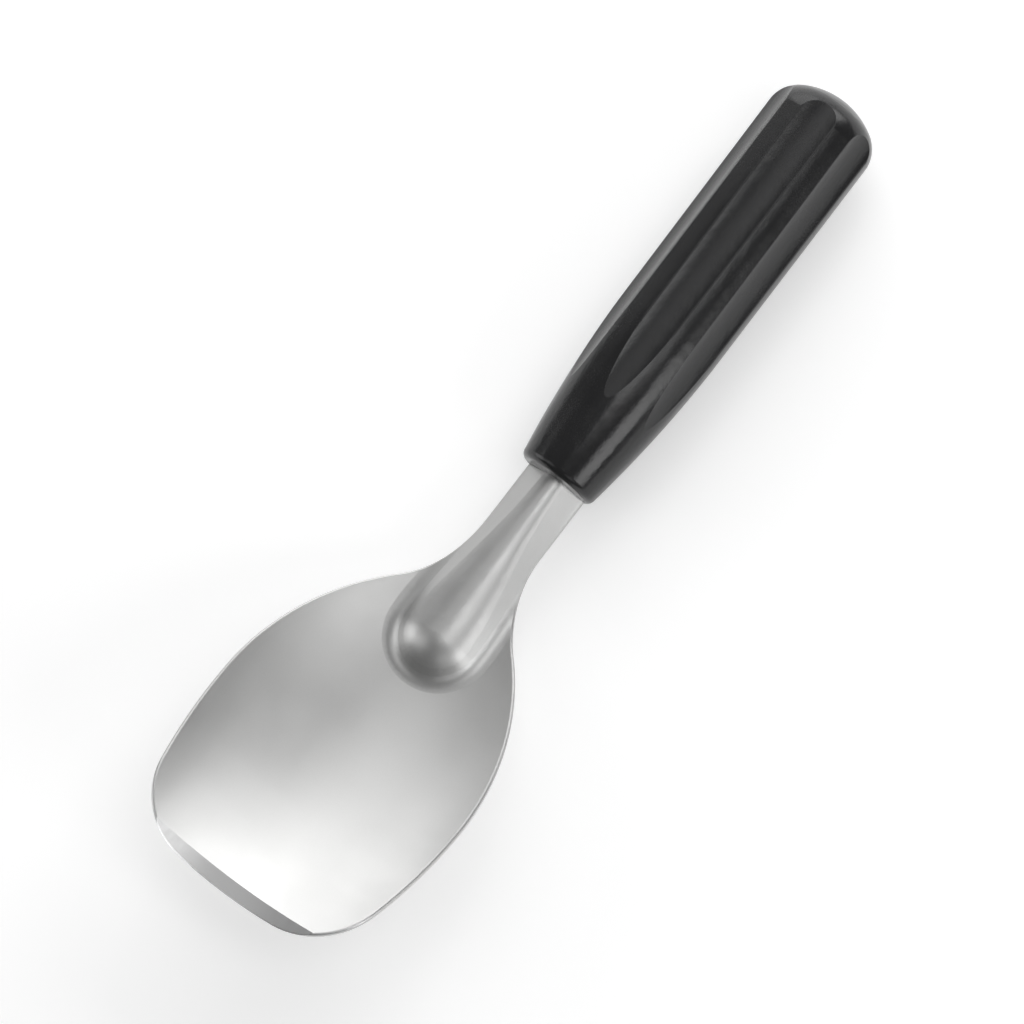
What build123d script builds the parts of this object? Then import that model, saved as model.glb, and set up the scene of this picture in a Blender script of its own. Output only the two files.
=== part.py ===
from build123d import *
from math import asin, cos, degrees, radians, sin, sqrt, tan
import os

os.makedirs("parts", exist_ok=True)

# All lengths are millimetres. The spade is drawn with the handle's axis on X, the handle's
# mouth at x = 0, the blade ahead of it and the scooping side up, then moved to its frame.

# Handle, a tapered round bar with straight flutes, whose ends are turned to a mouth and a dome
handle_length = 109.4
mouth_radius = 9.6
mouth_edge_radius = 1.8
taper_length = 46.0
waist_radius = 13.4
butt_radius = 13.67
butt_dome_radius = 18.5
butt_edge_radius = 8.0
flute_count = 6
flute_cutter_radius = 16.0
flute_floor_radius = 12.2
flute_edge_radius = 0.9

# Sheet of the blade and its pressed form: a dish, and a ridge that widens into a domed nose
sheet_thickness = 1.8
sheet_drop = 3.9
dish_start = 37.2
dish_long_radius = 166.0
dish_cross_radius = 70.5
ridge_height = 6.8
ridge_end = 43.8
ridge_widening_length = 52.0
ridge_section_count = 5
ridge_flank_angle = 42.0
ridge_crest_radius = 4.0
ridge_nose_radius = 11.8
ridge_valley_radius = 4.5

# Outline of the blade, seen from above
neck_half_width = 7.7
shoulder_reach = 30.4
shoulder_radius = 31.0
widest_reach = 78.0
blade_half_width = 32.65
corner_inset = 6.45
corner_radius = 19.3
front_reach = 119.6
front_bow = 2.65

# Ground edge along the front, and the rounding of the blade's other edges
grind_width = 3.6
grind_angle = 23.0
edge_radius = 0.5

# Tang inside the handle, with holes that the moulding fills
tang_length = 70.0
tang_half_width = 5.8
tang_shoulder_depth = 4.0
tang_end_radius = 4.0
lock_hole_radius = 2.6
lock_hole_first = 30.0
lock_hole_spacing = 24.0
lock_hole_count = 2

# Open line round the neck where it leaves the handle
mouth_gap = 0.3
mouth_gap_depth = 1.6

# How far every tool overruns the work, and how far a tool stands clear of what it leaves alone
overrun = 3.0
tool_clearance = 0.03

tool_back = -tang_length - overrun
tool_half_width = blade_half_width + overrun

def dish_section(lift, far_side):
    radius = dish_cross_radius - lift
    bottom = lift - sheet_drop
    ends = bottom + radius - sqrt(radius**2 - tool_half_width**2)
    left = (-tool_half_width, ends)
    right = (tool_half_width, ends)
    edge = ThreePointArc(left, (0, bottom), right)
    edge += Polyline(right, (tool_half_width, far_side), (-tool_half_width, far_side), left)
    return make_face(edge)

def space_under_dish(lift):
    section = dish_section(lift, lift - sheet_drop - blade_half_width)
    straight = extrude(Plane.YZ.offset(tool_back) * section, amount=dish_start - tool_back)
    bend_axis = Axis((dish_start, 0, dish_long_radius - sheet_drop), (0, -1, 0))
    bend = degrees(asin((front_reach + tool_half_width / 2 - dish_start) / dish_long_radius))
    return straight + revolve(Plane.YZ.offset(dish_start) * section, bend_axis, bend)

def ridge_section(share, lift):
    flank = radians(ridge_flank_angle)
    growth = (ridge_nose_radius - ridge_crest_radius) * share**3 * (4 - 3 * share)
    crest_radius = ridge_crest_radius + growth + lift
    apex = ridge_height - sheet_drop + lift + crest_radius * (1 / cos(flank) - 1)
    base = -sheet_drop - ridge_height
    half_base = (apex - base) / tan(flank)
    section = make_face(Polyline((-half_base, base), (half_base, base), (0, apex), close=True))
    section = fillet(section.vertices().sort_by(Axis.Y)[-1], crest_radius)
    return Plane.YZ.offset(ridge_end - (1 - share) * ridge_widening_length) * section

def ridge(lift):
    sections = []
    for step in range(ridge_section_count):
        sections.append(ridge_section(step / (ridge_section_count - 1), lift))
    neck = extrude(sections[0], amount=tool_back + ridge_widening_length - ridge_end)
    half_nose = split(sections[-1], Plane.XZ, keep=Keep.TOP)
    nose = revolve(half_nose, Axis((ridge_end, 0, 0), (0, 0, 1)), 180)
    return neck + loft(sections) + nose

def pressed_body(lift):
    dish = space_under_dish(lift)
    raised = ridge(lift)
    body = dish + raised
    return fillet(new_edges(dish, raised, combined=body), ridge_valley_radius - lift)

def pressed_sheet(top_lift, bottom_lift):
    return pressed_body(top_lift) - pressed_body(bottom_lift)

def blade_plan():
    back = -tang_shoulder_depth
    shoulder = (shoulder_reach, neck_half_width)
    widest = (widest_reach, blade_half_width)
    corner = (front_reach - front_bow, blade_half_width - corner_inset)
    edge = Polyline((back, 0), (back, neck_half_width), shoulder)
    edge += TangentArc(widest, shoulder, tangent=(-1, 0))
    edge += TangentArc(widest, corner, tangent=(1, 0))
    edge += TangentArc((front_reach, 0), corner, tangent=(0, 1))
    plan = make_face(edge + mirror(edge, Plane.XZ))
    plan = fillet(plan.vertices().sort_by(Axis.X)[-2:], corner_radius)
    return fillet(plan.vertices().sort_by(Axis.X)[2:4], shoulder_radius)

def tang_plan():
    tang = Rectangle(tang_length, 2 * tang_half_width, align=(Align.MAX, Align.CENTER))
    return fillet(tang.vertices().group_by(Axis.X)[0], tang_end_radius)

def grinding_tool():
    bend = asin((front_reach - grind_width - dish_start) / dish_long_radius)
    height = dish_long_radius * (1 - cos(bend)) - sheet_drop
    tilt = bend - radians(grind_angle)
    start = Plane((front_reach - grind_width, 0, height), x_dir=(0, 1, 0), z_dir=(cos(tilt), 0, sin(tilt)))
    section = Pos(0, sheet_drop) * dish_section(0, blade_half_width)
    return extrude(start.offset(-overrun) * section, amount=grind_width + 2 * overrun)

def lock_hole_drills():
    drills = []
    for step in range(lock_hole_count):
        x = -lock_hole_first - step * lock_hole_spacing
        drills.append(Pos(x, 0) * Cylinder(lock_hole_radius, 2 * ridge_height + 2 * sheet_thickness))
    return drills

def make_blade():
    blank = extrude(blade_plan() + tang_plan(), amount=blade_half_width, both=True)
    blade = pressed_sheet(0, -sheet_thickness) & blank
    blade -= grinding_tool()
    # The four long edges of the neck, from which the rounding runs on round the blade
    neck_sides = blade.faces().filter_by(Axis.Y).sort_by(lambda face: abs(face.center().Y))[-2:]
    neck_edges = neck_sides.edges().sort_by(SortBy.LENGTH)[-4:]
    return fillet(neck_edges, edge_radius) - lock_hole_drills()

def bar_radius(depth):
    taper = (butt_radius - waist_radius) / (handle_length - taper_length)
    return waist_radius + (depth - taper_length) * taper

def end_form():
    dome_depth = handle_length - butt_dome_radius + sqrt(butt_dome_radius**2 - butt_radius**2)
    waist = (-taper_length, waist_radius + tool_clearance)
    corner = (-dome_depth, bar_radius(dome_depth) + tool_clearance)
    mouth = (0, mouth_radius)
    tip = (-handle_length, 0)
    edge = Polyline(tip, (0, 0), mouth)
    edge += TangentArc(waist, mouth, tangent=Vector(*waist) - Vector(*corner))
    edge += Line(waist, corner)
    edge += TangentArc(tip, corner, tangent=(0, 1))
    turned = revolve(make_face(Plane.XZ * edge), Axis.X)
    turned = fillet(turned.edges().sort_by_distance((-dome_depth, 0, -butt_radius))[0], butt_edge_radius)
    return fillet(turned.edges().sort_by_distance((0, 0, -mouth_radius))[0], mouth_edge_radius)

def fluted_bar():
    depth = handle_length + overrun
    front = (overrun, bar_radius(-overrun))
    edge = Polyline((-depth, 0), (overrun, 0), front, (-depth, bar_radius(depth)), close=True)
    bar = revolve(make_face(Plane.XZ * edge), Axis.X)
    spread = PolarLocations(flute_floor_radius + flute_cutter_radius, flute_count, start_angle=90)
    bar -= Plane.YZ * spread * Cylinder(flute_cutter_radius, 2 * handle_length + 4 * overrun)
    return fillet(bar.edges().filter_by(lambda edge: edge.length > handle_length), flute_edge_radius)

def neck_relief():
    slot = Rectangle(2 * mouth_gap_depth, 2 * (neck_half_width + mouth_gap))
    slot = extrude(slot, amount=mouth_radius, both=True)
    return pressed_sheet(mouth_gap, -sheet_thickness - mouth_gap) & slot

def make_handle(blade):
    return (end_form() & fluted_bar()) - neck_relief() - blade

blade = make_blade()
handle = make_handle(blade)

# The frame's origin is under the middle of the spade, at the height of its lowest line
box = Compound([blade, handle]).bounding_box()
to_frame = Pos(-box.center().X, -box.center().Y, -box.min.Z)
export_step(to_frame * blade, "parts/blade.step")
export_step(to_frame * handle, "parts/handle.step")
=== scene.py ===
import bpy
from math import cos, pi, radians, sin
from mathutils import Matrix, Vector


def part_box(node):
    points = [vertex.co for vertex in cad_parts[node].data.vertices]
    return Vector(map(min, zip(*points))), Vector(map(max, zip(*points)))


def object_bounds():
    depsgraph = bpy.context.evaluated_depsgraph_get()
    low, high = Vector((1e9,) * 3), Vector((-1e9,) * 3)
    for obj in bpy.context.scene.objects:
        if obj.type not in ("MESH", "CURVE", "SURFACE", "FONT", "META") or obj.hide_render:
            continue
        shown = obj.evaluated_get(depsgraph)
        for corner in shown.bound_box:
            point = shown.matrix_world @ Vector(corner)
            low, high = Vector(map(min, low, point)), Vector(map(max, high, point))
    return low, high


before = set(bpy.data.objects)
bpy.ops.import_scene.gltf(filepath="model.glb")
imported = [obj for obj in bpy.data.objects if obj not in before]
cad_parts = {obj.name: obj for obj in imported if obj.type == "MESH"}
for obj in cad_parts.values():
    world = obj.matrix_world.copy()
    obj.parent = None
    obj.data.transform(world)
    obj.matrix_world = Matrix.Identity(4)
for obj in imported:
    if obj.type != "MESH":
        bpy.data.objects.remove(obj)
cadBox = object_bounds()
handleLow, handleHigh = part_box("handle")
mouthMiddle = Vector((handleHigh.x, 0, (handleLow.z + handleHigh.z) / 2))  # of the handle's front end
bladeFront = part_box("blade")[1].x
white = (1.0, 1.0, 1.0, 1.0)
print("frame loaded:", sorted(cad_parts))

# node tools: a value that is another node's output is linked, any other is set

def addNode(tree, kind, values=None, **settings):
    node = tree.nodes.new(kind)
    for name, value in settings.items():
        setattr(node, name, value)
    for name, value in (values or {}).items():
        if isinstance(value, bpy.types.NodeSocket):
            tree.links.new(value, node.inputs[name])
        else:
            node.inputs[name].default_value = value
    return node

def newGroup(name, inputs, outputs):
    group = bpy.data.node_groups.new(name, "ShaderNodeTree")
    for socket, kind in inputs.items():
        group.interface.new_socket(socket, in_out="INPUT", socket_type=kind)
    for socket in outputs:
        group.interface.new_socket(socket, in_out="OUTPUT", socket_type="NodeSocketFloat")
    return group, group.nodes.new("NodeGroupInput"), group.nodes.new("NodeGroupOutput")

def placeGroup(tree, group, values):
    return addNode(tree, "ShaderNodeGroup", values, node_tree=group).outputs

def remap(tree, source, fromRange, toRange=(0.0, 1.0)):
    node = addNode(tree, "ShaderNodeMapRange", {
        "Value": source,
        "From Min": fromRange[0], "From Max": fromRange[1],
        "To Min": toRange[0], "To Max": toRange[1]})
    return node.outputs["Result"]

def mathOf(tree, operation, first, second):
    return addNode(tree, "ShaderNodeMath", {0: first, 1: second}, operation=operation).outputs["Value"]

def mixOf(tree, kind, factor, first, second):
    node = addNode(tree, "ShaderNodeMix", {"Factor": factor, "A": first, "B": second}, data_type=kind)
    return node.outputs["Result"]

def newMaterial(name):
    material = bpy.data.materials.new(name)
    material.use_nodes = True
    tree = material.node_tree
    return material, tree, tree.nodes["Principled BSDF"]

def joinShader(tree, shader, colour, roughness, bump):
    tree.links.new(colour, shader.inputs["Base Color"])
    tree.links.new(roughness, shader.inputs["Roughness"])
    tree.links.new(bump.outputs["Normal"], shader.inputs["Normal"])

# shared effects: a two-size grain, long streaks, and a mask along the edges, used for wear on the blade and
# for wear plus a painted highlight on the handle's rims

effectLook = {
    "grainDetail": {"Grain": 2.0, "Patch": 3.0},
    "grainRoughness": 0.55,
    "streakDetail": 3.0,
    "noiseRange": (0.3, 0.7),  # where nearly all of a noise lies
    "wearAndSheenSamples": 6,
    "wearAndSheenRange": (0.995, 0.9),  # how far the rounded normal leaves the plain one, as a cosine
}

def buildGrain():
    sockets = {"Grain Size": "NodeSocketFloat", "Patch Size": "NodeSocketFloat"}
    group, source, result = newGroup("satinGrain", sockets, ("Grain", "Patch"))
    place = addNode(group, "ShaderNodeTexCoord")
    for name, detail in effectLook["grainDetail"].items():
        noise = addNode(group, "ShaderNodeTexNoise", {
            "Vector": place.outputs["Object"],
            "Scale": mathOf(group, "DIVIDE", 1.0, source.outputs[name + " Size"]),
            "Detail": detail,
            "Roughness": effectLook["grainRoughness"]})
        group.links.new(noise.outputs["Fac"], result.inputs[name])
    return group

def buildStreaks():
    group, source, result = newGroup("streaks", {"Size": "NodeSocketVector"}, ("Streak",))
    place = addNode(group, "ShaderNodeTexCoord")
    counted = addNode(group, "ShaderNodeVectorMath", {
        0: place.outputs["Object"], 1: source.outputs["Size"]}, operation="DIVIDE")
    noise = addNode(group, "ShaderNodeTexNoise", {
        "Vector": counted.outputs["Vector"], "Scale": 1.0, "Detail": effectLook["streakDetail"]})
    group.links.new(noise.outputs["Fac"], result.inputs["Streak"])
    return group

def buildEdgeWearAndSheen():
    group, source, result = newGroup("edgeWearAndSheen", {"Width": "NodeSocketFloat"}, ("Mask",))
    rounded = addNode(group, "ShaderNodeBevel", {
        "Radius": source.outputs["Width"]}, samples=effectLook["wearAndSheenSamples"])
    plain = addNode(group, "ShaderNodeNewGeometry")
    turned = addNode(group, "ShaderNodeVectorMath", {
        0: rounded.outputs["Normal"], 1: plain.outputs["Normal"]}, operation="DOT_PRODUCT")
    mask = remap(group, turned.outputs["Value"], effectLook["wearAndSheenRange"])
    group.links.new(mask, result.inputs["Mask"])
    return group

def spreadOf(tree, noise, toRange):
    return remap(tree, noise, effectLook["noiseRange"], toRange)

def swingOf(tree, noise, amount):
    return spreadOf(tree, noise, (-amount, amount))

grainGroup = buildGrain()
streakGroup = buildStreaks()
edgeWearAndSheenGroup = buildEdgeWearAndSheen()
print("shared effects built")

# blade: fine blasted stainless sheet, with a ground front edge

steelFinish = {
    "colour": (0.52, 0.52, 0.515, 1.0),
    "paleColour": (0.57, 0.57, 0.565, 1.0),
    "roughness": (0.375, 0.425),
    "speckle": 0.03,  # how far the grain moves the roughness
    "edgeRoughness": 0.26,
    "edgeWidth": 0.0007,
    "grainSize": 0.00028,
    "patchSize": 0.012,
    "grainDepth": 0.000012,
    "grainStrength": 0.5,
    "groundColour": (0.58, 0.58, 0.58, 1.0),
    "groundRoughness": 0.36,
    "groundSpeckle": 0.04,  # how far the grinding streaks move the roughness
    "groundReach": 0.018,  # how far behind the front edge the ground face is looked for
    "groundFade": 0.001,
    "groundFacing": (-0.33, -0.25),  # forward part of the normal: less on the dish, more on the ground face
    "groundUpward": (0.0, 0.2),  # upward part of the normal, so that the underside is left out
    "streakSize": (0.006, 0.00025, 0.006),
    "streakDepth": 0.12,  # as a share of the grain's depth
}

def groundMask(tree):
    place = addNode(tree, "ShaderNodeTexCoord")
    facing = addNode(tree, "ShaderNodeSeparateXYZ", {"Vector": place.outputs["Normal"]})
    where = addNode(tree, "ShaderNodeSeparateXYZ", {"Vector": place.outputs["Object"]})
    start = bladeFront - steelFinish["groundReach"]
    flatter = remap(tree, facing.outputs["X"], steelFinish["groundFacing"])
    ahead = remap(tree, where.outputs["X"], (start, start + steelFinish["groundFade"]))
    upward = remap(tree, facing.outputs["Z"], steelFinish["groundUpward"])
    return mathOf(tree, "MULTIPLY", mathOf(tree, "MULTIPLY", flatter, ahead), upward)

def steelMaterial():
    material, tree, shader = newMaterial("satinSteel")
    shader.inputs["Metallic"].default_value = 1.0
    grain = placeGroup(tree, grainGroup, {
        "Grain Size": steelFinish["grainSize"], "Patch Size": steelFinish["patchSize"]})
    streaks = placeGroup(tree, streakGroup, {"Size": steelFinish["streakSize"]})
    wearAndSheen = placeGroup(tree, edgeWearAndSheenGroup, {"Width": steelFinish["edgeWidth"]})
    ground = groundMask(tree)

    sheet = mixOf(tree, "RGBA", grain["Grain"], steelFinish["colour"], steelFinish["paleColour"])
    tone = mixOf(tree, "RGBA", ground, sheet, steelFinish["groundColour"])

    satin = spreadOf(tree, grain["Patch"], steelFinish["roughness"])
    satin = mathOf(tree, "ADD", satin, swingOf(tree, grain["Grain"], steelFinish["speckle"]))
    lines = swingOf(tree, streaks["Streak"], steelFinish["groundSpeckle"])
    lines = mathOf(tree, "ADD", lines, steelFinish["groundRoughness"])
    rough = mixOf(tree, "FLOAT", ground, satin, lines)
    polished = mixOf(tree, "FLOAT", wearAndSheen["Mask"], rough, steelFinish["edgeRoughness"])

    shallow = mathOf(tree, "MULTIPLY", streaks["Streak"], steelFinish["streakDepth"])
    bump = addNode(tree, "ShaderNodeBump", {
        "Height": mixOf(tree, "FLOAT", ground, grain["Grain"], shallow),
        "Strength": steelFinish["grainStrength"],
        "Distance": steelFinish["grainDepth"]})
    joinShader(tree, shader, tone, polished, bump)
    return material

# handle: black moulded plastic with a satin skin

plasticFinish = {
    "colour": (0.008, 0.008, 0.0085, 1.0),
    "paleColour": (0.015, 0.015, 0.016, 1.0),
    # paler grey for the edges: partly wear, partly a painted highlight along the rims
    "wornAndSheenColour": (0.035, 0.035, 0.036, 1.0),
    "edgeWidth": 0.0008,
    "roughness": (0.19, 0.27),
    "speckle": 0.04,  # how far the grain moves the roughness
    "grainSize": 0.00035,
    "patchSize": 0.018,
    "grainDepth": 0.000016,
    "grainStrength": 0.6,
    "rippleSize": (0.0045, 0.0024, 0.0024),  # faint flow marks of the moulding, along the handle
    "rippleDepth": 0.00007,
}

def plasticMaterial():
    material, tree, shader = newMaterial("satinBlackPlastic")
    grain = placeGroup(tree, grainGroup, {
        "Grain Size": plasticFinish["grainSize"], "Patch Size": plasticFinish["patchSize"]})
    ripples = placeGroup(tree, streakGroup, {"Size": plasticFinish["rippleSize"]})
    wearAndSheen = placeGroup(tree, edgeWearAndSheenGroup, {"Width": plasticFinish["edgeWidth"]})

    skin = mixOf(tree, "RGBA", grain["Patch"], plasticFinish["colour"], plasticFinish["paleColour"])
    # edges painted paler: partly wear, partly a painted highlight along the flute borders and rims
    tone = mixOf(tree, "RGBA", wearAndSheen["Mask"], skin, plasticFinish["wornAndSheenColour"])

    satin = spreadOf(tree, grain["Patch"], plasticFinish["roughness"])
    satin = mathOf(tree, "ADD", satin, swingOf(tree, grain["Grain"], plasticFinish["speckle"]))

    swell = addNode(tree, "ShaderNodeBump", {
        "Height": ripples["Streak"], "Strength": 1.0, "Distance": plasticFinish["rippleDepth"]})
    bump = addNode(tree, "ShaderNodeBump", {
        "Height": grain["Grain"],
        "Strength": plasticFinish["grainStrength"],
        "Distance": plasticFinish["grainDepth"],
        "Normal": swell.outputs["Normal"]})
    joinShader(tree, shader, tone, satin, bump)
    return material

def dressNode(name, material):
    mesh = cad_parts[name].data
    mesh.materials.clear()
    mesh.materials.append(material)

dressNode("blade", steelMaterial())
dressNode("handle", plasticMaterial())
print("blade and handle dressed")

# floor: plain pale, lifted to white for what looks at it, with the shadow kept

floorLook = {
    "halfSize": 3.0,
    "gap": 0.0002,  # between the spade's lowest line and the floor
    "colour": (0.86, 0.86, 0.86, 1.0),
    "roughness": 0.9,
    "lift": 0.36,
}

def floorMaterial():
    material, tree, shader = newMaterial("paleFloor")
    shader.inputs["Base Color"].default_value = floorLook["colour"]
    shader.inputs["Roughness"].default_value = floorLook["roughness"]
    shader.inputs["Specular IOR Level"].default_value = 0.0
    shader.inputs["Emission Color"].default_value = white
    path = addNode(tree, "ShaderNodeLightPath").outputs
    seen = mathOf(tree, "MAXIMUM", path["Is Camera Ray"], path["Is Glossy Ray"])
    seen = mathOf(tree, "MAXIMUM", seen, path["Is Transmission Ray"])
    glow = mathOf(tree, "MULTIPLY", seen, floorLook["lift"])
    tree.links.new(glow, shader.inputs["Emission Strength"])
    return material

def makeFloor():
    half = floorLook["halfSize"]
    height = cadBox[0][2] - floorLook["gap"]
    corners = [(-half, -half), (half, -half), (half, half), (-half, half)]
    mesh = bpy.data.meshes.new("floor")
    mesh.from_pydata([(x, y, height) for x, y in corners], [], [(0, 1, 2, 3)])
    mesh.materials.append(floorMaterial())
    floor = bpy.data.objects.new("floor", mesh)
    bpy.context.scene.collection.objects.link(floor)

makeFloor()
print("floor laid")

# studio: soft boxes round the spade, each given by the way it lies from the middle of the part

studioBoxes = {
    "buttBox": {"toward": (-0.90, 0.00, 0.44), "distance": 1.1, "size": 0.80, "brightness": 2.6},
    "backLeftBox": {"toward": (-0.70, -0.62, 0.35), "distance": 1.1, "size": 0.80, "brightness": 1.9},
    "leftBox": {"toward": (-0.35, -0.88, 0.30), "distance": 1.1, "size": 0.50, "brightness": 0.35},
    "frontLeftBox": {"toward": (0.40, -0.87, 0.30), "distance": 1.1, "size": 0.60, "brightness": 1.65},
    "highFrontLeftBox": {"toward": (0.49, -0.49, 0.72), "distance": 1.1, "size": 0.50, "brightness": 0.8},
    "rightBox": {"toward": (0.06, 0.90, 0.43), "distance": 1.1, "size": 0.50, "brightness": 3.1},
    "frontRightBox": {"toward": (0.57, 0.57, 0.60), "distance": 1.1, "size": 0.50, "brightness": 0.6},
    "highRightBox": {"toward": (-0.16, 0.47, 0.87), "distance": 1.2, "size": 0.35, "brightness": 1.7},
    "topBox": {"toward": (-0.11, 0.23, 0.965), "distance": 1.2, "size": 0.32, "brightness": 3.0},
    "topLeftBox": {"toward": (-0.20, -0.20, 0.96), "distance": 1.2, "size": 0.40, "brightness": 0.7},
    "topBackBox": {"toward": (-0.48, -0.38, 0.79), "distance": 1.2, "size": 0.55, "brightness": 1.05},
}
roomLight = 0.18

def makeStudio():
    middle = (Vector(cadBox[0]) + Vector(cadBox[1])) / 2
    for name, box in studioBoxes.items():
        lamp = bpy.data.lights.new(name, "AREA")
        lamp.shape = "SQUARE"
        lamp.size = box["size"]
        lamp.energy = box["brightness"] * pi * box["size"] ** 2
        holder = bpy.data.objects.new(name, lamp)
        toward = Vector(box["toward"]).normalized()
        holder.location = middle + toward * box["distance"]
        holder.rotation_euler = toward.to_track_quat("Z", "Y").to_euler()
        holder.visible_camera = False
        bpy.context.scene.collection.objects.link(holder)
    world = bpy.data.worlds.new("room")
    world.use_nodes = True
    walls = world.node_tree.nodes["Background"]
    walls.inputs["Color"].default_value = white
    walls.inputs["Strength"].default_value = roomLight
    bpy.context.scene.world = world

makeStudio()
print("studio lit by", len(studioBoxes), "soft boxes")

# camera: a long lens over the spade, turned so that the handle runs to the upper right

photoView = {
    "roll": 11.27,  # leans to the side of the right edge, in degrees
    "tilt": 7.21,  # leans to the blade's end
    "axisAngle": 52.8,  # the handle's slope in the picture
    "distance": 1.19,
    "pixelsPerMetre": 4430.0,
    "imagePixels": 1024,
    "aimToButt": -0.01155,  # where the picture's middle lies from the handle's mouth
    "aimAcross": -0.00346,
    "sensor": 36.0,
    "clipEnd": 20.0,
}

def placeCamera():
    roll, tilt, turn = (radians(photoView[name]) for name in ("roll", "tilt", "axisAngle"))
    toButt = Vector((-cos(tilt), sin(roll) * sin(tilt), cos(roll) * sin(tilt)))
    across = Vector((0, cos(roll), -sin(roll)))
    toCamera = Vector((sin(tilt), sin(roll) * cos(tilt), cos(roll) * cos(tilt)))
    right = toButt * cos(turn) + across * sin(turn)
    up = toButt * sin(turn) - across * cos(turn)
    lens = bpy.data.cameras.new("photoCamera")
    lens.sensor_width = photoView["sensor"]
    seenWidth = photoView["imagePixels"] / photoView["pixelsPerMetre"]
    lens.lens = photoView["sensor"] * photoView["distance"] / seenWidth
    lens.clip_end = photoView["clipEnd"]
    camera = bpy.data.objects.new("photoCamera", lens)
    stand = Matrix((right, up, toCamera)).transposed().to_4x4()
    aim = toButt * photoView["aimToButt"] + across * photoView["aimAcross"]
    stand.translation = mouthMiddle + aim + toCamera * photoView["distance"]
    camera.matrix_world = stand
    bpy.context.scene.collection.objects.link(camera)
    bpy.context.scene.camera = camera

placeCamera()
bpy.context.scene.view_settings.view_transform = "Standard"
print("camera placed")
